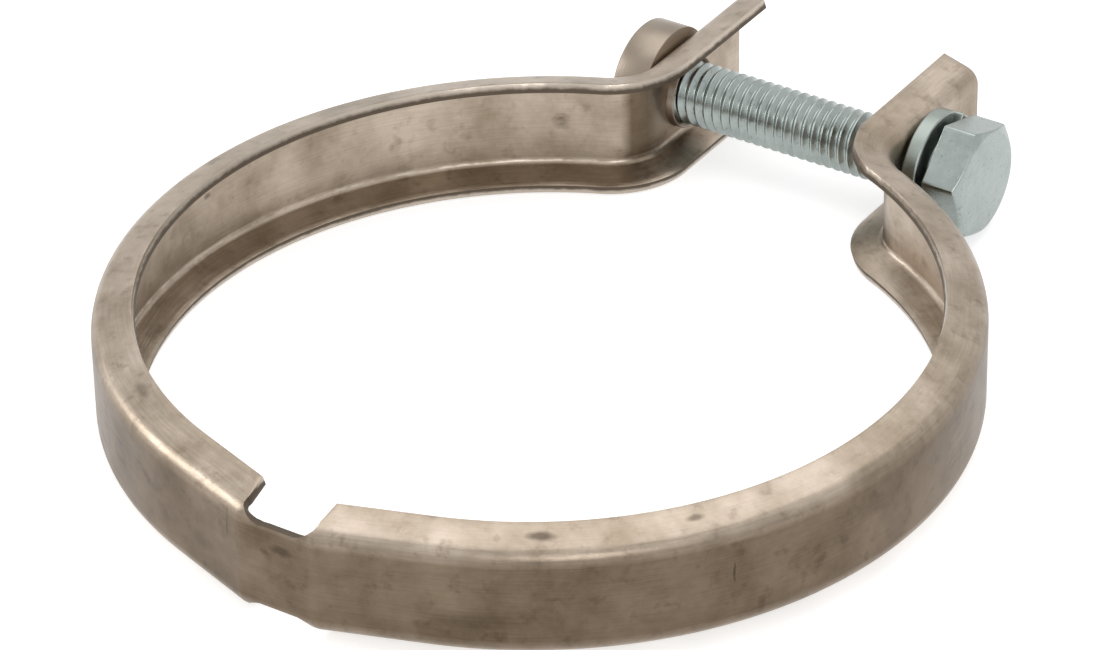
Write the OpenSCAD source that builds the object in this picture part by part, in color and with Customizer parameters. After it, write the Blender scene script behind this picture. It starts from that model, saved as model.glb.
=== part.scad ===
// V-profile band clamp with one tightening bolt, drawn open as it is supplied.
// The band is one bent sheet strip. It folds at the notch, so it is drawn as two halves that meet there.
// Origin: on the ring's axis, half way up the band. X runs along the bolt, Y from the notch to the bolt.

/* [Band] */
// Thickness of the sheet
band_t = 1.2; // [0.8:0.1:1.5]
// Diameter of the band inside its web
web_d = 99; // [70:1:160]
// Height of the straight part of the web
web_h = 9.4; // [8:0.2:14]
// Inside radius of the bends between web and flanges
fold_r = 0.9; // [0.5:0.1:1.5]
// Slope of the flanges away from the ring's plane
flange_slope = 16; // [5:1:30]
// Diameter inside the edges of the flanges
mouth_d = 91.4; // [60:0.5:155]
// Angle from the notch at which each ring half runs on straight to it
flat_turn = 19; // [12:1:22]
// Width of the notch in both flanges at the folding place
notch_w = 10; // [8:0.5:14]
// Radius of the notch's inner corners
notch_r = 2; // [0.5:0.1:2.8]
// Width of the folding strip between its two kinks
strip_w = 9.6; // [7.6:0.2:13]
// Height of the folding strip that the notches leave
strip_h = 10.2; // [8:0.2:11]
// Play between the two halves at the folding line
hinge_play = 0.07; // [0.04:0.01:0.1]

/* [Ears] */
// Distance between the inner faces of the two ears
ear_gap = 32.4; // [26:0.2:40]
// Radius of the bend from ring to ear, on its outer side
ear_bend_r = 5.9; // [4:0.1:9]
// Length of the ears beyond the bolt's axis
ear_beyond = 12.5; // [9:0.5:16]
// Distance of the bolt's axis from the end of the ear bend
bolt_beyond_bend = 5.9; // [5:0.1:9]

/* [Bolt] */
// Outside diameter of the thread
thread_d = 7.9; // [6:0.1:10]
// Pitch of the thread
pitch = 1.25; // [0.75:0.25:1.5]
// Depth of the thread
thread_depth = 0.72; // [0.4:0.02:0.8]
// Length of the bolt under its head
bolt_len = 40; // [38:1:50]
// Width of the hexagon across its flats
hex_w = 13; // [11:0.5:16]
// Height of the hexagon head
hex_h = 5.3; // [4:0.1:7]
// Height of the round seat under the head
seat_h = 0.4; // [0.2:0.1:0.6]
// Turn of the hexagon about the bolt's axis
hex_turn = 14; // [-30:1:30]
// Play between the thread and the bore of the nut, on the radius
thread_play = 0.05; // [0.03:0.01:0.1]
// Play between the thread and the slot in the ear, on the radius
slot_play = 0.45; // [0.35:0.05:0.7]
// Length that the slot gives the ear to tilt
slot_run = 1.6; // [1.4:0.1:2.5]

/* [Lock washer] */
// Outside diameter of the spring washer
washer_d = 14.2; // [12.5:0.1:15]
// Thickness of the spring washer's wire
washer_t = 2; // [1.5:0.1:2.5]
// Play between the washer and the thread, on the radius
washer_play = 0.2; // [0.1:0.05:0.4]
// Width of the washer's split
split_w = 1.2; // [0.5:0.1:2]
// Slant of the washer's split
split_slant = 25; // [0:5:40]
// Room that the unloaded washer springs open
washer_spring = 0.8; // [0.2:0.1:0.9]
// Room between the washer and the ear
washer_room = 0.15; // [0.1:0.05:0.3]

/* [Nut] */
// Outside diameter of the round nut
nut_d = 15; // [13:0.1:15.3]
// Height of the nut outside the ear
nut_h = 5.1; // [4:0.1:7]
// Chamfer of the nut's outer rim
nut_chamfer = 0.4; // [0.2:0.1:0.8]
// Diameter of the nut's flat seat on the ear
seat_d = 11.2; // [10:0.1:12]
// Height at which the nut's underside clears the ear bend
seat_relief = 0.5; // [0.3:0.1:0.8]
// Outside diameter of the collar that passes through the ear
collar_d = 9.3; // [9.2:0.1:9.4]
// Height of the collar beyond the inside of the ear
collar_beyond = 1; // [0.6:0.1:1.6]
// Depth of the countersink in the collar
sink_depth = 0.4; // [0.2:0.1:0.6]
// Play between the collar and its hole, on the radius
collar_play = 0.03; // [0.02:0.01:0.05]

/* [Hidden] */
fine = 96;
fold_steps = 5;                         // flats drawn along each bend of the section
overlap = 0.05;                         // pieces of one body reach this far into each other

web_r = web_d / 2;                      // inner face of the web
outer_r = web_r + band_t;               // outer face of the web
mid_r = web_r + band_t / 2;             // middle of the sheet
fold_outer_r = fold_r + band_t;         // outside radius of the web's bends
fold_turn = 90 - flange_slope;          // how far each bend turns the sheet

// Folding strip, between the straight ends of the two ring halves
flat_len = (mid_r * sin(flat_turn) - strip_w / 2) / cos(flat_turn);
hinge_y = -mid_r * cos(flat_turn) - flat_len * sin(flat_turn);
pin_r = band_t / 2 - overlap;           // the folding line is drawn as a pin
groove_r = band_t / 2 + hinge_play - overlap;

// Ear geometry, worked out for the bolt's side and mirrored for the nut's side
ear_outer_x = ear_gap / 2 + band_t;     // outer face of an ear
bend_x = ear_outer_x + ear_bend_r;      // axis of the ear bend
axis_gap = outer_r + ear_bend_r;        // from the ring's axis to the bend's axis
ear_turn = 180 - asin(bend_x / axis_gap); // where the ring's arc ends, from the notch
bend_y = -axis_gap * cos(ear_turn);
bolt_y = bend_y + bolt_beyond_bend;
ear_end_y = bolt_y + ear_beyond;

// Heights of the profile
fold_rise = fold_outer_r * sin(fold_turn);
flange_run = outer_r - mouth_d / 2 - fold_outer_r * (1 - cos(fold_turn));
band_half_h = web_h / 2 + fold_rise + flange_run * tan(flange_slope);

// Places along the bolt
washer_x = ear_outer_x + washer_room;
head_x = washer_x + washer_t + washer_spring;
tip_x = head_x - bolt_len;
collar_r = collar_d / 2;
slot_r = thread_d / 2 + slot_play;
nut_bore_r = thread_d / 2 + thread_play;

// Section of the band. X is measured inwards from the web's outer face, Y is height.
// Each bend is drawn in short flats, and the flanges end upright, at the mouth's diameter.
module section() {
    depth = outer_r - mouth_d / 2;
    turns = [for (i = [0 : fold_steps]) i * fold_turn / fold_steps];
    tip_inner = band_half_h - band_t / cos(flange_slope);
    outer = [for (a = turns) [fold_outer_r * (1 - cos(a)), web_h / 2 + fold_outer_r * sin(a)]];
    inner = [for (a = turns) [fold_outer_r - fold_r * cos(a), web_h / 2 + fold_r * sin(a)]];
    upper = concat(outer, [[depth, band_half_h], [depth, tip_inner]], [for (i = [fold_steps : -1 : 0]) inner[i]]);
    last = len(upper) - 1;
    polygon(concat(upper, [for (i = [last : -1 : 0]) [upper[i][0], -upper[i][1]]]));
}

// Takes the flange away over the folding strip, with round inner corners.
module notch() {
    floor_z = strip_h / 2;
    side = notch_w / 2 - notch_r;
    translate([0, band_t - mouth_d / 2, 0])
        rotate([90, 0, 0])
            linear_extrude(outer_r) {
                translate([-notch_w / 2, floor_z + notch_r])
                    square([notch_w, web_h]);
                translate([-side, floor_z])
                    square([2 * side, web_h]);
                for (x = [-side, side])
                    translate([x, floor_z + notch_r])
                        circle(r = notch_r, $fn = fine);
            }
}

// One ring half, on the bolt's side, with its straight end and the notches at the folding strip.
module ring_half() {
    difference() {
        rotate([0, 0, flat_turn - 90]) {
            rotate_extrude(angle = ear_turn - flat_turn, $fn = fine)
                translate([outer_r, 0])
                    mirror([1, 0])
                        section();
            translate([outer_r, 0, 0])
                rotate([90, 0, 0])
                    linear_extrude(flat_len + band_t / 5)
                        mirror([1, 0])
                            section();
        }
        notch();
        mirror([0, 0, 1])
            notch();
    }
}

// The bend that turns the ring half outwards into its ear.
module ear_bend() {
    translate([bend_x, bend_y, 0])
        rotate([0, 0, 180])
            rotate_extrude(angle = ear_turn - 90, $fn = fine)
                translate([ear_bend_r, 0])
                    section();
}

// The straight ear, from the end of its bend outwards.
module ear() {
    translate([ear_outer_x, bend_y, 0])
        rotate([90, 0, 180])
            linear_extrude(ear_end_y - bend_y)
                section();
}

// Half of the folding strip that joins the two ring halves.
module strip() {
    translate([0, hinge_y - band_t / 2, -strip_h / 2])
        cube([strip_w / 2 + overlap, band_t, strip_h]);
}

module bolt_side_band() {
    slot_y = bolt_y + slot_play / 2;
    color([0.56, 0.52, 0.47]) {
        ring_half();
        ear_bend();
        difference() {
            ear();
            for (y = [slot_y - slot_run, slot_y])
                translate([0, y, 0])
                    rotate([0, 90, 0])
                        cylinder(r = slot_r, h = bend_x, $fn = fine);
            translate([0, slot_y - slot_run, overlap - slot_r])
                cube([bend_x, slot_run, 2 * (slot_r - overlap)]);
        }
        strip();
        translate([0, hinge_y, -strip_h / 2])
            cylinder(r = pin_r, h = strip_h, $fn = fine);
    }
}

module nut_side_band() {
    color([0.56, 0.52, 0.47])
        mirror([1, 0, 0]) {
            ring_half();
            ear_bend();
            difference() {
                ear();
                translate([0, bolt_y, 0])
                    rotate([0, 90, 0])
                        cylinder(r = collar_r, h = bend_x, $fn = fine);
            }
            difference() {
                strip();
                translate([0, hinge_y, -strip_h])
                    cylinder(r = groove_r, h = 2 * strip_h, $fn = fine);
            }
        }
}

// Turned nut: its collar passes through the ear and stands a little beyond it.
module round_nut() {
    end = band_t + collar_beyond;
    neck_r = collar_r - collar_play;
    color([0.6, 0.57, 0.52])
        translate([-ear_outer_x, bolt_y, 0])
            rotate([0, 90, 0])
                rotate_extrude($fn = fine)
                    polygon([[nut_bore_r, -nut_h], [nut_d / 2 - nut_chamfer, -nut_h],
                             [nut_d / 2, -nut_h + nut_chamfer], [nut_d / 2, -seat_relief],
                             [seat_d / 2, 0], [neck_r, 0], [neck_r, end],
                             [nut_bore_r + sink_depth, end], [nut_bore_r, end - sink_depth]]);
}

// Outline of the threaded shank: one groove to each pitch. X is the radius, Y runs from tip to head.
module shank_outline() {
    crest = thread_d / 2;
    root = crest - thread_depth;
    flat = pitch / 8;
    turns = floor((bolt_len - thread_depth) / pitch) - 1;
    groove = [[crest, flat], [root, pitch / 2], [root, pitch / 2 + flat], [crest, pitch]];
    starts = [for (i = [0 : turns - 1]) thread_depth + i * pitch];
    grooves = [for (start = starts, corner = groove) [corner[0], start + corner[1]]];
    polygon(concat([[0, 0], [root, 0], [crest, thread_depth]], grooves, [[crest, bolt_len], [0, bolt_len]]));
}

// The head's top is turned to a cone that takes the hexagon's corners off.
module hex_bolt() {
    corner_r = hex_w / 2 / cos(30);
    seat_r = 0.91 * hex_w / 2;
    top_r = 0.97 * hex_w / 2;
    wide_r = corner_r + 1;
    cone_h = (wide_r - top_r) * tan(30);
    color([0.74, 0.77, 0.79]) {
        translate([tip_x, bolt_y, 0])
            rotate([0, 90, 0])
                rotate_extrude($fn = fine)
                    shank_outline();
        translate([head_x, bolt_y, 0])
            rotate([0, 90, 0]) {
                cylinder(r = seat_r, h = seat_h, $fn = fine);
                intersection() {
                    rotate([0, 0, hex_turn])
                        translate([0, 0, seat_h])
                            cylinder(r = corner_r, h = hex_h - seat_h, $fn = 6);
                    rotate_extrude($fn = fine)
                        polygon([[0, 0], [wide_r, 0], [wide_r, hex_h - cone_h], [top_r, hex_h], [0, hex_h]]);
                }
            }
    }
}

// Spring washer: a ring with a slanting split.
module lock_washer() {
    color([0.7, 0.74, 0.77])
        translate([washer_x, bolt_y, 0])
            rotate([0, 90, 0])
                difference() {
                    cylinder(d = washer_d, h = washer_t, $fn = fine);
                    translate([0, 0, -1])
                        cylinder(r = thread_d / 2 + washer_play, h = washer_t + 2, $fn = fine);
                    translate([-washer_d / 2, 0, washer_t / 2])
                        rotate([split_slant, 0, 0])
                            cube([washer_d, split_w, 3 * washer_t], center = true);
                }
}

nut_side_band();
bolt_side_band();
round_nut();
hex_bolt();
lock_washer();
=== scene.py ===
import bpy
import bmesh
import math
from mathutils import Matrix, Vector


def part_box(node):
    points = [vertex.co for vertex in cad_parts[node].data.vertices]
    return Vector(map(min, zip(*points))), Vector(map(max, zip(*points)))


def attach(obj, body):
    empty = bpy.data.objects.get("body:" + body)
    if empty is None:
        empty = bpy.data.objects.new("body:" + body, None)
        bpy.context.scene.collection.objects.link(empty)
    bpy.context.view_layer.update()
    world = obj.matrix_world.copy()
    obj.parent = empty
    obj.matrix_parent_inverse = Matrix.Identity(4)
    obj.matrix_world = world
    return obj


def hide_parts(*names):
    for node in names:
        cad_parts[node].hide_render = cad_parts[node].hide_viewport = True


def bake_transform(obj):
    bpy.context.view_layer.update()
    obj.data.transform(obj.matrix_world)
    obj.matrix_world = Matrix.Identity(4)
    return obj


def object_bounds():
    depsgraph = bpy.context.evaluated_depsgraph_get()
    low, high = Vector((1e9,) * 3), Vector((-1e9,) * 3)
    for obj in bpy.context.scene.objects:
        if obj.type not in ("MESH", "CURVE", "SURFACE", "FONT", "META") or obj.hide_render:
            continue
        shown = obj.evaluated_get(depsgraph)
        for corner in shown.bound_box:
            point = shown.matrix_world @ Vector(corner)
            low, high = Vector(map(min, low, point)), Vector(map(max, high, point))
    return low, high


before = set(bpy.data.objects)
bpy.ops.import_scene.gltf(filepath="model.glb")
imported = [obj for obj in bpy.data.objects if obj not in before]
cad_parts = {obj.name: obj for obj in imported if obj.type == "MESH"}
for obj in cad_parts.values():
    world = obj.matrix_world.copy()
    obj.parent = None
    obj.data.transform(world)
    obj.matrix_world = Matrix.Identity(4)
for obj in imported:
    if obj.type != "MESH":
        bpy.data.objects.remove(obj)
cad_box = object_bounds()
MM = 0.001


# ---------------------------------------------------------------- Studio
# A pale table in a soft white room, with one broad lamp above and a weaker one at the side.
# The clamp lies flat on the table and is looked at from in front, a little to the bolt's side.
azimuth, elevation, roll = math.radians(33.72), math.radians(33.0), math.radians(-1.19)
distance = 644.6 * MM
look = Vector((-math.sin(azimuth) * math.cos(elevation), math.cos(azimuth) * math.cos(elevation),
               -math.sin(elevation)))
level = Vector((math.cos(azimuth), math.sin(azimuth), 0.0))
upright = level.cross(look)
view_x = math.cos(roll) * level + math.sin(roll) * upright
view_y = -math.sin(roll) * level + math.cos(roll) * upright
lens_data = bpy.data.cameras.new("view_camera")
lens_data.sensor_width = 36.0
lens_data.lens = 185.69
lens_data.shift_x = 0.0089
lens_data.shift_y = 0.0192
lens_data.clip_start = 0.01
camera = bpy.data.objects.new("view_camera", lens_data)
camera.matrix_world = (Matrix.Translation(-look * distance)
                       @ Matrix((view_x, view_y, -look)).transposed().to_4x4())
bpy.context.scene.collection.objects.link(camera)
bpy.context.scene.camera = camera
bpy.context.scene.view_settings.view_transform = "Standard"


def linear(hex_colour):
    """An sRGB hex colour as linear RGBA."""
    parts = [int(hex_colour[i:i + 2], 16) / 255 for i in (1, 3, 5)]
    return [c / 12.92 if c <= 0.04045 else ((c + 0.055) / 1.055) ** 2.4 for c in parts] + [1.0]


def add(tree, kind, settings=None, links=None):
    """One node: settings are its properties and input values, links its inputs' sources."""
    node = tree.nodes.new(kind)
    for key, value in (settings or {}).items():
        if isinstance(key, str) and not key.startswith("in "):
            setattr(node, key, value)
        else:
            node.inputs[key[3:] if isinstance(key, str) else key].default_value = value
    for key, source in (links or {}).items():
        tree.links.new(source, node.inputs[key])
    return node


def blank_material(name):
    """A material with an empty node tree."""
    material = bpy.data.materials.new(name)
    material.use_nodes = True
    material.node_tree.nodes.clear()
    return material, material.node_tree


world = bpy.data.worlds.new("white_room")
bpy.context.scene.world = world
world.use_nodes = True
room = world.node_tree
room.nodes.clear()
place = add(room, "ShaderNodeTexCoord")
height = add(room, "ShaderNodeSeparateXYZ", links={0: place.outputs["Generated"]})
walls = add(room, "ShaderNodeValToRGB", links={0: height.outputs["Z"]})
walls.color_ramp.elements[0].position = 0.0
walls.color_ramp.elements[0].color = linear("#7b7976")
walls.color_ramp.elements[1].position = 0.55
walls.color_ramp.elements[1].color = linear("#ffffff")
soft = add(room, "ShaderNodeBackground", {"in Strength": 0.62}, {"Color": walls.outputs["Color"]})
white = add(room, "ShaderNodeBackground", {"in Color": (1, 1, 1, 1), "in Strength": 1.0})


def seen_or_mirrored(tree):
    """1 for what the camera sees, straight or through the metal's reflections."""
    path = add(tree, "ShaderNodeLightPath")
    straight = add(tree, "ShaderNodeMath", {"operation": "MAXIMUM"},
                   {0: path.outputs["Is Camera Ray"], 1: path.outputs["Is Glossy Ray"]})
    return add(tree, "ShaderNodeMath", {"operation": "MAXIMUM"},
               {0: straight.outputs[0], 1: path.outputs["Is Transmission Ray"]}).outputs[0]


chosen = add(room, "ShaderNodeMixShader",
             links={0: seen_or_mirrored(room), 1: soft.outputs[0], 2: white.outputs[0]})
add(room, "ShaderNodeOutputWorld", links={"Surface": chosen.outputs[0]})

for name, place_mm, size_mm, power in (("lamp_above", (-60, 160, 520), 520, 0.9),
                                       ("lamp_left", (-520, -200, 240), 260, 0.9),
                                       ("lamp_right", (420, -460, 420), 240, 0.7)):
    lamp_data = bpy.data.lights.new(name, "AREA")
    lamp_data.shape = "SQUARE"
    lamp_data.size = size_mm * MM
    lamp_data.energy = power
    lamp = bpy.data.objects.new(name, lamp_data)
    lamp.location = Vector(place_mm) * MM
    lamp.rotation_euler = (-Vector(place_mm)).to_track_quat("-Z", "Y").to_euler()
    bpy.context.scene.collection.objects.link(lamp)

table_mesh = bpy.data.meshes.new("table")
shape = bmesh.new()
bmesh.ops.create_grid(shape, x_segments=1, y_segments=1, size=3.0)
bmesh.ops.translate(shape, verts=shape.verts, vec=(0, 0, cad_box[0][2] - 0.05 * MM))
shape.to_mesh(table_mesh)
shape.free()
table = bpy.data.objects.new("table", table_mesh)
bpy.context.scene.collection.objects.link(table)
paper, tree = blank_material("matt_white_paper")
# Matt paper: it takes the clamp's soft shadow and otherwise reads as white.
matt = add(tree, "ShaderNodeBsdfDiffuse", {"in Color": linear("#e4e4e4")})
glow_level = add(tree, "ShaderNodeMath", {"operation": "MULTIPLY", 1: 0.6}, {0: seen_or_mirrored(tree)})
glow = add(tree, "ShaderNodeEmission", links={"Strength": glow_level.outputs[0]})
both = add(tree, "ShaderNodeAddShader", links={0: matt.outputs[0], 1: glow.outputs[0]})
add(tree, "ShaderNodeOutputMaterial", links={"Surface": both.outputs[0]})
table_mesh.materials.append(paper)


# ---------------------------------------------------------------- Band
# One strip of 1.2 mm stainless sheet, blanked with its notches and holes, folded to a V-profile,
# rolled round and bent out into two ears. The real band folds open at the strip left between the notches; here it is
# made as one piece.
sheet_t, web_half, fold_mid_r, flange_len = 1.2, 4.7, 1.5, 3.34
fold_turn, flange_slope = math.radians(74), math.radians(16)
half_blank = web_half + fold_mid_r * fold_turn + flange_len
ring_mid_r, strip_end, kink_r, kink_turn = 50.1, 4.8, 2.0, math.radians(19)
ear_x, ear_bend_mid_r = 16.8, 6.5
bend_x = ear_x + ear_bend_mid_r
ear_turn = math.pi - math.asin(bend_x / (ring_mid_r + ear_bend_mid_r))
bend_y = -(ring_mid_r + ear_bend_mid_r) * math.cos(ear_turn)
ear_end_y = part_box("bolt_side_band")[1][1] / MM
bolt_y = bend_y + 5.9
kink_leg = kink_r * math.tan(kink_turn / 2)
flat_len = (ring_mid_r * math.sin(kink_turn) - strip_end) / math.cos(kink_turn)
hinge_y = -ring_mid_r * math.cos(kink_turn) - flat_len * math.sin(kink_turn)

# The blank's way from the middle of the folding strip to an ear's end: length, turn to the left.
way = ((strip_end - kink_leg, 0.0), (kink_r * kink_turn, kink_turn), (flat_len - kink_leg, 0.0),
       (ring_mid_r * (ear_turn - kink_turn), ear_turn - kink_turn),
       (ear_bend_mid_r * (ear_turn - math.pi / 2), math.pi / 2 - ear_turn), (ear_end_y - bend_y, 0.0))
ear_start = sum(length for length, turn in way[:-1])
blank_end = ear_start + way[-1][0]


def along(s):
    """Where the blank's middle line runs at the length s from the folding strip: place and heading."""
    at, heading, left = Vector((0.0, hinge_y)), 0.0, abs(s)
    for length, turn in way:
        part = min(left, length)
        if turn:
            radius = length / turn
            angle = part / radius
            at = at + radius * Vector((math.sin(heading + angle) - math.sin(heading),
                                       math.cos(heading) - math.cos(heading + angle)))
            heading += angle
        else:
            at = at + part * Vector((math.cos(heading), math.sin(heading)))
        left -= part
        if left <= 0:
            break
    return at, heading


def across(v):
    """How far in from the web, and how high, the folded sheet is at the width v of the blank."""
    up, side = abs(v), math.copysign(1, v)
    if up <= web_half:
        return 0.0, v
    angle = min((up - web_half) / fold_mid_r, fold_turn)
    rest = up - web_half - fold_mid_r * angle
    return (fold_mid_r * (1 - math.cos(angle)) + rest * math.cos(flange_slope),
            side * (web_half + fold_mid_r * math.sin(angle) + rest * math.sin(flange_slope)))


def form(s, v):
    """The formed place, in metres, of a point of the flat blank."""
    at, heading = along(s)
    inward, z = across(v)
    x = at.x - inward * math.sin(heading)
    y = at.y + inward * math.cos(heading)
    return Vector((math.copysign(x, s) if s else x, y, z)) * MM


def round_outline(cx, cy, radius, start, end, steps):
    """Half planes round an arc: a point on each and the way out."""
    sides = []
    for i in range(steps + 1):
        angle = start + (end - start) * i / steps
        out = Vector((math.cos(angle), math.sin(angle), 0))
        sides.append((Vector((cx, cy, 0)) + radius * out, out))
    return sides


def punch(blank, sides, reach):
    """Punches the convex hole that the half planes bound out of the flat blank, near the box reach."""
    (low_s, high_s), (low_v, high_v) = reach
    for point, out in sides:
        near = [f for f in blank.faces if low_s < f.calc_center_median().x < high_s
                and low_v < f.calc_center_median().y < high_v]
        edges = list({e for f in near for e in f.edges})
        corners = list({c for f in near for c in f.verts})
        bmesh.ops.bisect_plane(blank, geom=corners + edges + near, dist=1e-5, plane_co=point, plane_no=out)
    waste = [f for f in blank.faces
             if all((f.calc_center_median() - point).dot(out) < 0 for point, out in sides)]
    bmesh.ops.delete(blank, geom=waste, context="FACES")


# The flat blank is drawn in millimetres: X along the strip, Y across it.
blank = bmesh.new()
stations_v = [-half_blank + i * flange_len / 4 for i in range(4)]
stations_v += [-web_half - fold_mid_r * fold_turn * (1 - i / 8) for i in range(8)]
stations_v += [-web_half + i * web_half / 4 for i in range(5)]
stations_v += [-v for v in reversed(stations_v[:-1])]
line = [blank.verts.new((-blank_end, v, 0)) for v in stations_v]
edges = [blank.edges.new(pair) for pair in zip(line, line[1:])]
counts = (6, 6, 8, 78, 18, 18)
lengths = [length for (length, turn), n in zip(way, counts) for i in range(n)]
steps = [length / n for (length, turn), n in zip(way, counts) for i in range(n)]
for step in list(reversed(steps)) + steps:
    grown = bmesh.ops.extrude_edge_only(blank, edges=edges)["geom"]
    edges = [g for g in grown if isinstance(g, bmesh.types.BMEdge) and len(g.link_faces) == 1
             and abs(g.verts[0].co.x - g.verts[1].co.x) < 1e-6]
    bmesh.ops.translate(blank, verts=[g for g in grown if isinstance(g, bmesh.types.BMVert)], vec=(step, 0, 0))

notch_floor = web_half + fold_mid_r * math.asin(0.4 / fold_mid_r)
notch_r, notch_half = 3.1, 5.3
lean = math.radians(22)
for side in (1, -1):
    sides = [(Vector((0, side * notch_floor, 0)), Vector((0, -side, 0)))]
    for end in (1, -1):
        arc = round_outline(end * (notch_half - notch_r), side * (notch_floor + notch_r), notch_r,
                            -math.pi / 2 * side, (-lean * side if end > 0 else (-math.pi + lean) * side), 6)
        sides += arc[1:]
    reach = ((-9, 9), (4.9, 11)) if side > 0 else ((-9, 9), (-11, -4.9))
    punch(blank, sides, reach)
hole_s = ear_start + bolt_y - bend_y
punch(blank, round_outline(-hole_s, 0, 4.63, 0, 2 * math.pi * 35 / 36, 35), ((-hole_s - 6, -hole_s + 6), (-6, 6)))
slot_sides = (round_outline(hole_s + 0.22, 0, 4.4, -math.pi / 2, math.pi / 2, 16)
              + round_outline(hole_s - 1.38, 0, 4.4, math.pi / 2, 3 * math.pi / 2, 16))
punch(blank, slot_sides, ((hole_s - 7, hole_s + 6), (-6, 6)))

bmesh.ops.remove_doubles(blank, verts=blank.verts, dist=0.06)
bmesh.ops.dissolve_degenerate(blank, edges=blank.edges, dist=0.02)

# The blank's own length and width, in millimetres, are kept so that the grain can follow the sheet.
grain = blank.loops.layers.uv.new("grain")
for face in blank.faces:
    for loop in face.loops:
        loop[grain].uv = (loop.vert.co.x / 100, loop.vert.co.y / 100)
for vert in blank.verts:
    vert.co = form(vert.co.x, vert.co.y)
bmesh.ops.recalc_face_normals(blank, faces=blank.faces)
for face in blank.faces:
    face.smooth = True
band_mesh = bpy.data.meshes.new("clamp_band")
blank.to_mesh(band_mesh)
blank.free()
band = bpy.data.objects.new("clamp_band", band_mesh)
bpy.context.scene.collection.objects.link(band)

thicken = band.modifiers.new("sheet", "SOLIDIFY")
thicken.thickness = sheet_t * MM
thicken.offset = 0.0
thicken.use_even_offset = True
thicken.material_offset_rim = 1
burr = band.modifiers.new("edges", "BEVEL")
burr.width = 0.13 * MM
burr.segments = 2
burr.limit_method = "ANGLE"
burr.angle_limit = math.radians(50)
burr.use_clamp_overlap = True
burr.harden_normals = False


def settle(piece):
    """Applies the piece's modifiers to its mesh."""
    bpy.context.view_layer.update()
    seen = piece.evaluated_get(bpy.context.evaluated_depsgraph_get())
    mesh = bpy.data.meshes.new_from_object(seen)
    piece.modifiers.clear()
    piece.data = mesh
    return piece


# Stainless sheet, cold rolled and formed: a warm grey with fine grain along the strip and faint brown
# mottling, which give the eye a soft streaked sheen rather than a mirror, with a painted highlight along one inner bend
# and painted shade on the outside of the web.
stainless, tree = blank_material("formed_stainless_sheet")
strip_map = add(tree, "ShaderNodeUVMap", {"uv_map": "grain"})
grain_place = add(tree, "ShaderNodeMapping", {"in Scale": (18, 420, 1)}, {"Vector": strip_map.outputs[0]})
streaks = add(tree, "ShaderNodeTexNoise", {"in Scale": 1.0, "in Detail": 4.0, "in Roughness": 0.6},
              {"Vector": grain_place.outputs[0]})
body_map = add(tree, "ShaderNodeTexCoord")
mottle = add(tree, "ShaderNodeTexNoise", {"in Scale": 110.0, "in Detail": 5.0, "in Roughness": 0.62},
             {"Vector": body_map.outputs["Object"]})
cloud = add(tree, "ShaderNodeTexNoise", {"in Scale": 420.0, "in Detail": 3.0, "in Roughness": 0.6},
            {"Vector": body_map.outputs["Object"]})


def spot(tree, s, v, long, wide, soft):
    """1 inside a ragged spot of the sheet, centred s along and v across the blank, in millimetres."""
    ragged = add(tree, "ShaderNodeVectorMath", {"operation": "SCALE", "in Scale": 0.008}, {0: cloud.outputs["Color"]})
    warped = add(tree, "ShaderNodeVectorMath", {"operation": "ADD"}, {0: strip_map.outputs[0], 1: ragged.outputs[0]})
    shifted = add(tree, "ShaderNodeVectorMath", {"operation": "SUBTRACT", 1: (s / 100 + 0.004, v / 100 + 0.004, 0)},
                  {0: warped.outputs[0]})
    scaled = add(tree, "ShaderNodeVectorMath", {"operation": "MULTIPLY", 1: (100 / long, 100 / wide, 0)},
                 {0: shifted.outputs[0]})
    far = add(tree, "ShaderNodeVectorMath", {"operation": "LENGTH"}, {0: scaled.outputs[0]})
    return add(tree, "ShaderNodeMapRange", {"in From Min": 1.0, "in From Max": 1.0 - soft}, {"Value": far.outputs["Value"]})


tint = add(tree, "ShaderNodeValToRGB", links={0: mottle.outputs["Fac"]})
tint.color_ramp.elements[0].position = 0.34
tint.color_ramp.elements[0].color = linear("#958776")
tint.color_ramp.elements[1].position = 0.66
tint.color_ramp.elements[1].color = linear("#bdafa0")
stain = add(tree, "ShaderNodeMapRange", {"in From Min": 0.56, "in From Max": 0.74, "in To Min": 0.0, "in To Max": 0.45},
            {"Value": cloud.outputs["Fac"]})
stain_marks_and_painted_light = add(tree, "ShaderNodeMix", {"data_type": "RGBA", 7: linear("#6b5b4b")},
              {0: stain.outputs[0], 6: tint.outputs["Color"]})
# Handling scuffs and two scribed setting-out lines, and, as the last spot, painted shade in the pip that the press left
# by the nut's ear.
marks_and_pip_shade = stain_marks_and_painted_light
for s, v, long, wide, strength in ((0.7, 2.8, 1.8, 0.8, 0.5), (29.4, 7.9, 2.2, 0.8, 0.75), (47.0, 8.1, 1.4, 0.6, 0.6),
                                   (-83.0, 2.2, 0.7, 0.5, 0.6), (-30.0, 8.2, 2.2, 0.9, 0.5), (-6.6, 3.0, 0.16, 1.5, 0.6),
                                   (50.4, 1.0, 0.16, 1.5, 0.55), (-12.0, -1.5, 2.6, 1.3, 0.25), (22.0, -2.2, 5.0, 1.4, 0.25),
                                   (70.0, 2.0, 4.0, 1.6, 0.2), (-131.4, 0.3, 1.35, 1.2, 0.3)):
    dark_spot = spot(tree, s, v, long, wide, 0.6)
    amount = add(tree, "ShaderNodeMath", {"operation": "MULTIPLY", 1: strength}, {0: dark_spot.outputs[0]})
    marks_and_pip_shade = add(tree, "ShaderNodeMix", {"data_type": "RGBA", 7: linear("#4a4036")},
                 {0: amount.outputs[0], 6: marks_and_pip_shade.outputs[2]})
pip = spot(tree, -131.4, 0.3, 1.3, 1.2, 0.9)
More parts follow.
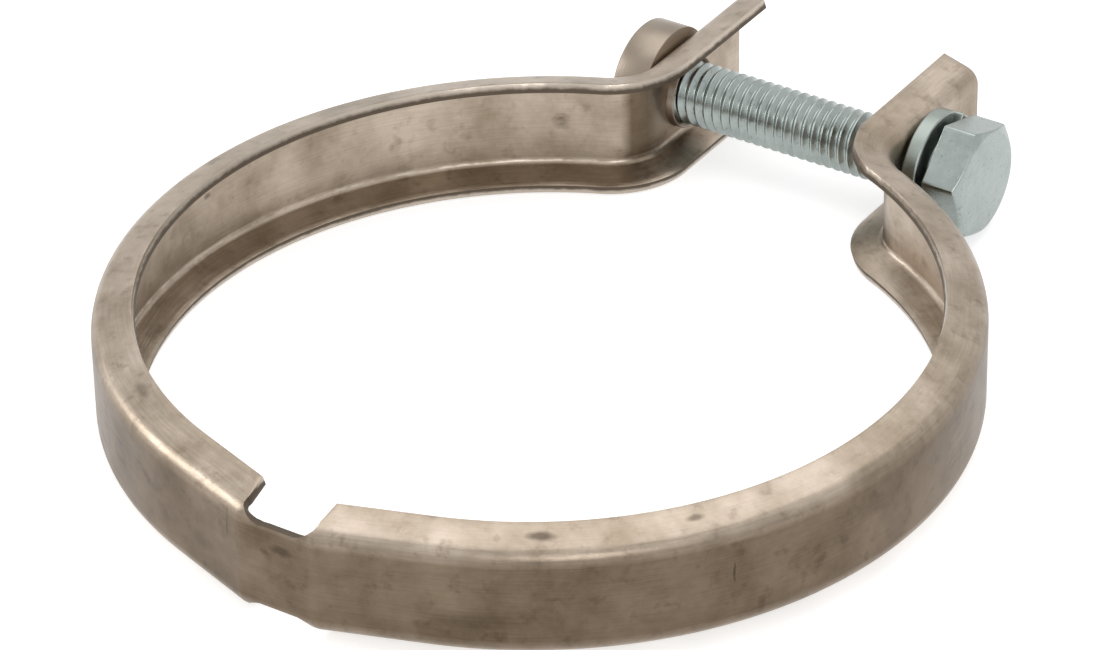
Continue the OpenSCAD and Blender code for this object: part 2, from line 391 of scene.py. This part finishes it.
# Painted highlight: a broken bright line along the inside of the lower bend.
wide_way = add(tree, "ShaderNodeSeparateXYZ", links={0: strip_map.outputs[0]})
from_web = add(tree, "ShaderNodeMath", {"operation": "ABSOLUTE"}, {0: wide_way.outputs["Y"]})
off_line = add(tree, "ShaderNodeMath", {"operation": "ADD", 1: 0.0535}, {0: wide_way.outputs["Y"]})
off_line = add(tree, "ShaderNodeMath", {"operation": "ABSOLUTE"}, {0: off_line.outputs[0]})
bend_highlight_line = add(tree, "ShaderNodeMapRange", {"in From Min": 0.0035, "in From Max": 0.0012}, {"Value": off_line.outputs[0]})
broken = add(tree, "ShaderNodeMapRange", {"in From Min": 0.42, "in From Max": 0.6, "in To Max": 0.7},
             {"Value": cloud.outputs["Fac"]})
painted_bend_highlight = add(tree, "ShaderNodeMath", {"operation": "MULTIPLY"}, {0: bend_highlight_line.outputs[0], 1: broken.outputs[0]})
# Painted shade: the outside of the web, short of the ears, is darker and browner than the inside.
level_place = add(tree, "ShaderNodeVectorMath", {"operation": "MULTIPLY", 1: (1, 1, 0)}, {0: body_map.outputs["Object"]})
from_axis = add(tree, "ShaderNodeVectorMath", {"operation": "LENGTH"}, {0: level_place.outputs[0]})
outside = add(tree, "ShaderNodeMapRange", {"in From Min": 0.04985, "in From Max": 0.0505}, {"Value": from_axis.outputs["Value"]})
on_web = add(tree, "ShaderNodeMapRange", {"in From Min": 0.062, "in From Max": 0.046}, {"Value": from_web.outputs[0]})
before_ears = add(tree, "ShaderNodeMapRange", {"in From Min": 0.0565, "in From Max": 0.052}, {"Value": from_axis.outputs["Value"]})
painted_shade_outer_web = add(tree, "ShaderNodeMath", {"operation": "MULTIPLY"}, {0: outside.outputs[0], 1: on_web.outputs[0]})
painted_shade_outer_web = add(tree, "ShaderNodeMath", {"operation": "MULTIPLY"}, {0: painted_shade_outer_web.outputs[0], 1: before_ears.outputs[0]})
inside = add(tree, "ShaderNodeMath", {"operation": "SUBTRACT", 0: 1.0}, {1: outside.outputs[0]})
painted_bend_highlight = add(tree, "ShaderNodeMath", {"operation": "MULTIPLY"}, {0: painted_bend_highlight.outputs[0], 1: inside.outputs[0]})
# The painted highlight is mixed in here, over the stains and marks.
stain_marks_and_painted_light = add(tree, "ShaderNodeMix", {"data_type": "RGBA", 7: linear("#d6cbbd")}, {0: painted_bend_highlight.outputs[0], 6: marks_and_pip_shade.outputs[2]})
streak_level = add(tree, "ShaderNodeMapRange", {"in From Min": 0.3, "in From Max": 0.7, "in To Min": 0.86, "in To Max": 1.08},
                   {"Value": streaks.outputs["Fac"]})
shade = add(tree, "ShaderNodeMix", {"data_type": "RGBA", "blend_type": "MULTIPLY", 0: 1.0},
            {6: stain_marks_and_painted_light.outputs[2], 7: streak_level.outputs[0]})
# Painted shade: this tone darkens the outside of the web.
painted_shade_outer_tone = add(tree, "ShaderNodeMix", {"data_type": "RGBA", 6: (1, 1, 1, 1), 7: linear("#aaa298")}, {0: painted_shade_outer_web.outputs[0]})
shade = add(tree, "ShaderNodeMix", {"data_type": "RGBA", "blend_type": "MULTIPLY", 0: 1.0},
            {6: shade.outputs[2], 7: painted_shade_outer_tone.outputs[2]})
rough = add(tree, "ShaderNodeMapRange", {"in From Min": 0.25, "in From Max": 0.75, "in To Min": 0.27, "in To Max": 0.46},
            {"Value": streaks.outputs["Fac"]})
ripple = add(tree, "ShaderNodeBump", {"in Strength": 0.18, "in Distance": 0.00004},
             {"Height": streaks.outputs["Fac"]})
dents = add(tree, "ShaderNodeBump", {"in Strength": 0.35, "in Distance": 0.0002},
            {"Height": mottle.outputs["Fac"], "Normal": ripple.outputs[0]})
# Cold rolling leaves a pebbled skin of about a quarter of a millimetre, which sparkles on the bends.
pebble = add(tree, "ShaderNodeTexNoise", {"in Scale": 3800.0, "in Detail": 2.0}, {"Vector": body_map.outputs["Object"]})
dents = add(tree, "ShaderNodeBump", {"in Strength": 0.5, "in Distance": 0.00003},
            {"Height": pebble.outputs["Fac"], "Normal": dents.outputs[0]})
dents = add(tree, "ShaderNodeBump", {"in Strength": 1.0, "in Distance": 0.00025, "invert": True},
            {"Height": pip.outputs[0], "Normal": dents.outputs[0]})
steel = add(tree, "ShaderNodeBsdfPrincipled", {"in Metallic": 1.0},
            {"Base Color": shade.outputs[2], "Roughness": rough.outputs[0], "Normal": dents.outputs[0]})
add(tree, "ShaderNodeOutputMaterial", links={"Surface": steel.outputs[0]})

# The same sheet where the press cut it: a bright burnished line and a darker torn band beside it.
sheared, tree = blank_material("sheared_stainless_edge")
body_map = add(tree, "ShaderNodeTexCoord")
height = add(tree, "ShaderNodeSeparateXYZ", links={0: body_map.outputs["Object"]})
from_middle = add(tree, "ShaderNodeMath", {"operation": "ABSOLUTE"}, {0: height.outputs["Z"]})
tear = add(tree, "ShaderNodeTexNoise", {"in Scale": 900.0, "in Detail": 4.0}, {"Vector": body_map.outputs["Object"]})
wander = add(tree, "ShaderNodeMath", {"operation": "MULTIPLY_ADD", 1: 0.0005, 2: -0.00025}, {0: tear.outputs["Fac"]})
depth = add(tree, "ShaderNodeMath", {"operation": "ADD"}, {0: from_middle.outputs[0], 1: wander.outputs[0]})
band_part = add(tree, "ShaderNodeMapRange", {"in From Min": 0.0069, "in From Max": 0.0073}, {"Value": depth.outputs[0]})
edge_tone = add(tree, "ShaderNodeMix", {"data_type": "RGBA", 6: linear("#655a4e"), 7: linear("#bdb2a5")},
                {0: band_part.outputs[0]})
edge_rough = add(tree, "ShaderNodeMapRange", {"in To Min": 0.6, "in To Max": 0.3}, {"Value": band_part.outputs[0]})
torn = add(tree, "ShaderNodeBump", {"in Strength": 0.6, "in Distance": 0.0001}, {"Height": tear.outputs["Fac"]})
steel = add(tree, "ShaderNodeBsdfPrincipled", {"in Metallic": 1.0},
            {"Base Color": edge_tone.outputs[2], "Roughness": edge_rough.outputs[0], "Normal": torn.outputs[0]})
add(tree, "ShaderNodeOutputMaterial", links={"Surface": steel.outputs[0]})

band_mesh.materials.append(stainless)
band_mesh.materials.append(sheared)
settle(band)
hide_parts("nut_side_band", "bolt_side_band")
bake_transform(band)


# ---------------------------------------------------------------- Round nut
# A turned stainless nut: its thin collar is pressed through the ear from outside and stands a
# little proud on the inside, with a countersunk mouth. Its underside is relieved over the bend.
def turned(name, outline, steps):
    """A piece turned on the bolt's axis from an outline of (place along the bolt, radius) points."""
    work = bmesh.new()
    points = [work.verts.new((r * MM, 0, x * MM)) for x, r in outline]
    ring = [work.edges.new(pair) for pair in zip(points, points[1:] + points[:1])]
    bmesh.ops.spin(work, geom=points + ring, cent=(0, 0, 0), axis=(0, 0, 1), angle=2 * math.pi, steps=steps,
                   use_merge=True)
    bmesh.ops.recalc_face_normals(work, faces=work.faces)
    bmesh.ops.transform(work, matrix=Matrix.Translation((0, bolt_y * MM, 0)) @ Matrix.Rotation(math.pi / 2, 4, "Y"),
                        verts=work.verts)
    for face in work.faces:
        face.smooth = True
    mesh = bpy.data.meshes.new(name)
    work.to_mesh(mesh)
    work.free()
    piece = bpy.data.objects.new(name, mesh)
    bpy.context.scene.collection.objects.link(piece)
    return piece


def soften(piece, width_mm, angle_deg, rounds):
    """Breaks the piece's sharp edges."""
    edge = piece.modifiers.new("edges", "BEVEL")
    edge.width = width_mm * MM
    edge.segments = rounds
    edge.limit_method = "ANGLE"
    edge.angle_limit = math.radians(angle_deg)
    edge.use_clamp_overlap = True
    return piece


seat_x = -(ear_x + sheet_t / 2)
mouth_x = seat_x + sheet_t + 1.0
nut_far_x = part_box("round_nut")[0][0] / MM
outline = [(nut_far_x, 4.55), (nut_far_x, 7.1), (nut_far_x + 0.4, 7.5), (seat_x - 0.5, 7.5), (seat_x, 5.6),
           (seat_x, 4.58), (mouth_x, 4.58), (mouth_x, 4.42), (mouth_x - 0.4, 4.02)]
turns = int((mouth_x - 0.6 - nut_far_x) / 1.25)
thread_end = mouth_x - 0.5
for i in range(turns):
    here = thread_end - i * 1.25
    outline += [(here, 4.0), (here - 0.45, 4.0), (here - 0.62, 4.3), (here - 0.9, 4.3)]
outline += [(nut_far_x + 0.5, 4.05)]
round_nut = turned("round_nut_turned", outline, 96)
soften(round_nut, 0.08, 35, 2)

# Stainless bar, turned: fine tool rings round the axis that catch light as thin arcs.
bar, tree = blank_material("turned_stainless_bar")
body_map = add(tree, "ShaderNodeTexCoord")
centred = add(tree, "ShaderNodeMapping", {"in Location": (0, -bolt_y * MM, 0)}, {"Vector": body_map.outputs["Object"]})
parts = add(tree, "ShaderNodeSeparateXYZ", links={0: centred.outputs[0]})
flat = add(tree, "ShaderNodeCombineXYZ", links={1: parts.outputs["Y"], 2: parts.outputs["Z"]})
radius = add(tree, "ShaderNodeVectorMath", {"operation": "LENGTH"}, {0: flat.outputs[0]})
reach = add(tree, "ShaderNodeMath", {"operation": "ADD"}, {0: radius.outputs["Value"], 1: parts.outputs["X"]})
rings = add(tree, "ShaderNodeTexNoise", {"noise_dimensions": "1D", "in Scale": 5200.0, "in Detail": 3.0},
            {"W": reach.outputs[0]})
blotch = add(tree, "ShaderNodeTexNoise", {"in Scale": 260.0, "in Detail": 4.0}, {"Vector": body_map.outputs["Object"]})
tone = add(tree, "ShaderNodeMix", {"data_type": "RGBA", 6: linear("#82776a"), 7: linear("#a3978a")},
           {0: blotch.outputs["Fac"]})
rough = add(tree, "ShaderNodeMapRange", {"in To Min": 0.24, "in To Max": 0.44}, {"Value": rings.outputs["Fac"]})
cut = add(tree, "ShaderNodeBump", {"in Strength": 0.25, "in Distance": 0.00004}, {"Height": rings.outputs["Fac"]})
steel = add(tree, "ShaderNodeBsdfPrincipled", {"in Metallic": 1.0},
            {"Base Color": tone.outputs[2], "Roughness": rough.outputs[0], "Normal": cut.outputs[0]})
add(tree, "ShaderNodeOutputMaterial", links={"Surface": steel.outputs[0]})
round_nut.data.materials.append(bar)
settle(round_nut)
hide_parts("round_nut")
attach(round_nut, "nut_side")


# ---------------------------------------------------------------- Hex bolt
# An M8 bolt, cold headed and thread rolled up to the head, bright zinc plated. The thread is a
# true helix of 1.25 mm pitch; the head has a chamfered top and a round seat under it.
bolt_low, bolt_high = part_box("hex_bolt")
tip_x, top_x = bolt_low[0] / MM, bolt_high[0] / MM
head_h, seat_h, hex_half, pitch = 5.3, 0.4, 6.5, 1.25
head_x = top_x - head_h
crest_r, root_r = 3.95, 3.28
shank_len = head_x - tip_x

thread = bmesh.new()
form_line = ((root_r, 0.0), (root_r + 0.05, 0.12), (crest_r - 0.05, 0.5), (crest_r, 0.57), (crest_r, 0.68),
             (crest_r - 0.05, 0.75), (root_r + 0.05, 1.13), (root_r, pitch))
points = [thread.verts.new((r * MM, 0, (tip_x - 1.5 * pitch + x) * MM)) for r, x in form_line]
lines = [thread.edges.new(pair) for pair in zip(points, points[1:])]
turns, round_steps = int(shank_len / pitch) + 3, 48
bmesh.ops.spin(thread, geom=points + lines, cent=(0, 0, 0), axis=(0, 0, 1), angle=2 * math.pi * turns,
               steps=round_steps * turns, dvec=(0, 0, pitch * MM / round_steps))
bmesh.ops.remove_doubles(thread, verts=thread.verts, dist=2e-6)
for x, way_out in ((tip_x, -1), (head_x + 0.1, 1)):
    cut = bmesh.ops.bisect_plane(thread, geom=thread.verts[:] + thread.edges[:] + thread.faces[:], dist=1e-7,
                                 plane_co=(0, 0, x * MM), plane_no=(0, 0, way_out), clear_outer=True)
    rim = [g for g in cut["geom_cut"] if isinstance(g, bmesh.types.BMEdge)]
    bmesh.ops.holes_fill(thread, edges=rim, sides=0)
bmesh.ops.recalc_face_normals(thread, faces=thread.faces)
for vert in thread.verts:
    above = vert.co.z / MM - tip_x
    radius_mm = math.hypot(vert.co.x, vert.co.y) / MM
    limit = root_r - 0.1 + above
    if radius_mm > limit:
        vert.co.x *= limit / radius_mm
        vert.co.y *= limit / radius_mm

head = bmesh.new()
head_turn = math.radians(-16.4)
segments = 96
made = bmesh.ops.create_circle(head, cap_ends=False, radius=1.0, segments=segments)


def hex_reach(angle):
    """The hexagon's outline: how far it reaches at an angle from a corner."""
    inside = (angle + math.pi / 6) % (math.pi / 3) - math.pi / 6
    return hex_half / math.cos(math.pi / 6 - abs(inside))


for vert in made["verts"]:
    angle = math.atan2(vert.co.y, vert.co.x)
    reach_mm = 5.95
    vert.co = Vector((math.cos(angle) * reach_mm, math.sin(angle) * reach_mm, head_x)) * MM
edges = head.edges[:]


def next_ring(edges, reach_of, level_of):
    """Extrudes the last ring to a new reach and level, each a function of the angle."""
    grown = bmesh.ops.extrude_edge_only(head, edges=edges)["geom"]
    for g in grown:
        if isinstance(g, bmesh.types.BMVert):
            angle = math.atan2(g.co.y, g.co.x)
            g.co = Vector((math.cos(angle) * reach_of(angle), math.sin(angle) * reach_of(angle),
                           level_of(angle))) * MM
    return [g for g in grown if isinstance(g, bmesh.types.BMEdge)]


bmesh.ops.holes_fill(head, edges=edges, sides=0)
edges = next_ring(edges, lambda a: 5.95, lambda a: head_x + seat_h)
edges = next_ring(edges, lambda a: hex_reach(a), lambda a: head_x + seat_h + 0.05)
edges = next_ring(edges, lambda a: hex_reach(a), lambda a: top_x - (hex_reach(a) - 6.2) * math.tan(math.radians(27)))
edges = next_ring(edges, lambda a: 6.2, lambda a: top_x)
bmesh.ops.holes_fill(head, edges=edges, sides=0)
bmesh.ops.recalc_face_normals(head, faces=head.faces)
bmesh.ops.rotate(head, verts=head.verts, cent=(0, 0, 0), matrix=Matrix.Rotation(math.pi / 2 + head_turn, 3, "Z"))


def lay_on_axis(work, name):
    """Lays a piece made upright along the bolt's axis and makes it an object."""
    bmesh.ops.transform(work, matrix=Matrix.Translation((0, bolt_y * MM, 0)) @ Matrix.Rotation(math.pi / 2, 4, "Y"),
                        verts=work.verts)
    for face in work.faces:
        face.smooth = True
    for edge in work.edges:
        edge.smooth = edge.calc_face_angle(0) < math.radians(60)
    mesh = bpy.data.meshes.new(name)
    work.to_mesh(mesh)
    work.free()
    piece = bpy.data.objects.new(name, mesh)
    bpy.context.scene.collection.objects.link(piece)
    return piece


bolt_thread = lay_on_axis(thread, "bolt_thread")
bolt_head = lay_on_axis(head, "bolt_head")
soften(bolt_head, 0.22, 24, 3)

# Bright zinc plate: a cool silver with a faint blue-green cast, slightly cloudy, over rolled or
# headed steel, so that flats show soft wide highlights and tiny dark specks.
zinc, tree = blank_material("bright_zinc_plated_steel")
body_map = add(tree, "ShaderNodeTexCoord")
cloud = add(tree, "ShaderNodeTexNoise", {"in Scale": 300.0, "in Detail": 5.0, "in Roughness": 0.65},
            {"Vector": body_map.outputs["Object"]})
speck = add(tree, "ShaderNodeTexNoise", {"in Scale": 1700.0, "in Detail": 2.0}, {"Vector": body_map.outputs["Object"]})
tone = add(tree, "ShaderNodeMix", {"data_type": "RGBA", 6: linear("#868f8c"), 7: linear("#b4bcb9")},
           {0: cloud.outputs["Fac"]})
pits = add(tree, "ShaderNodeMapRange", {"in From Min": 0.62, "in From Max": 0.72, "in To Min": 0.0, "in To Max": 0.4},
           {"Value": speck.outputs["Fac"]})
tone = add(tree, "ShaderNodeMix", {"data_type": "RGBA", 7: linear("#69726f")}, {0: pits.outputs[0], 6: tone.outputs[2]})
rough = add(tree, "ShaderNodeMapRange", {"in From Min": 0.3, "in From Max": 0.7, "in To Min": 0.2, "in To Max": 0.36},
            {"Value": cloud.outputs["Fac"]})
skin = add(tree, "ShaderNodeBump", {"in Strength": 0.25, "in Distance": 0.00006}, {"Height": cloud.outputs["Fac"]})
steel = add(tree, "ShaderNodeBsdfPrincipled", {"in Metallic": 1.0},
            {"Base Color": tone.outputs[2], "Roughness": rough.outputs[0], "Normal": skin.outputs[0]})
add(tree, "ShaderNodeOutputMaterial", links={"Surface": steel.outputs[0]})
for piece in (bolt_thread, bolt_head):
    piece.data.materials.append(zinc)
    settle(piece)
    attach(piece, "bolt")
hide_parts("hex_bolt")


# ---------------------------------------------------------------- Lock washer
# A spring washer of square wire, wound one turn and cut on a slant, zinc plated like the bolt but
# duller. It isn't pressed flat yet, so its ends stand apart.
washer_low, washer_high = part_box("lock_washer")
washer_x = washer_low[0] / MM
coil = bmesh.new()
wire = ((4.2, 0.0), (7.1, 0.0), (7.1, 1.95), (4.2, 1.95))
cut_at = math.radians(152)
corners = [coil.verts.new((r * MM, 0, (washer_x + x) * MM)) for r, x in wire]
loop = [coil.edges.new(pair) for pair in zip(corners, corners[1:] + corners[:1])]
bmesh.ops.rotate(coil, verts=coil.verts, cent=(0, 0, 0), matrix=Matrix.Rotation(cut_at, 3, "Z"))
coil_steps, coil_rise = 90, 0.72
bmesh.ops.spin(coil, geom=corners + loop, cent=(0, 0, 0), axis=(0, 0, 1), angle=math.radians(352), steps=coil_steps,
               dvec=(0, 0, coil_rise * MM / coil_steps))
open_edges = [e for e in coil.edges if len(e.link_faces) == 1]
bmesh.ops.holes_fill(coil, edges=open_edges, sides=0)
bmesh.ops.recalc_face_normals(coil, faces=coil.faces)
washer = lay_on_axis(coil, "split_lock_washer")
soften(washer, 0.25, 40, 3)

# Zinc over spring wire: greyer and rougher than the bolt, with a cloudy tone.
wire_zinc, tree = blank_material("dull_zinc_spring_wire")
body_map = add(tree, "ShaderNodeTexCoord")
cloud = add(tree, "ShaderNodeTexNoise", {"in Scale": 420.0, "in Detail": 5.0, "in Roughness": 0.65},
            {"Vector": body_map.outputs["Object"]})
tone = add(tree, "ShaderNodeMix", {"data_type": "RGBA", 6: linear("#868e89"), 7: linear("#adb4ae")},
           {0: cloud.outputs["Fac"]})
rough = add(tree, "ShaderNodeMapRange", {"in From Min": 0.3, "in From Max": 0.7, "in To Min": 0.3, "in To Max": 0.5},
            {"Value": cloud.outputs["Fac"]})
skin = add(tree, "ShaderNodeBump", {"in Strength": 0.35, "in Distance": 0.00008}, {"Height": cloud.outputs["Fac"]})
steel = add(tree, "ShaderNodeBsdfPrincipled", {"in Metallic": 1.0},
            {"Base Color": tone.outputs[2], "Roughness": rough.outputs[0], "Normal": skin.outputs[0]})
add(tree, "ShaderNodeOutputMaterial", links={"Surface": steel.outputs[0]})
washer.data.materials.append(wire_zinc)
settle(washer)
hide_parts("lock_washer")
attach(washer, "washer")
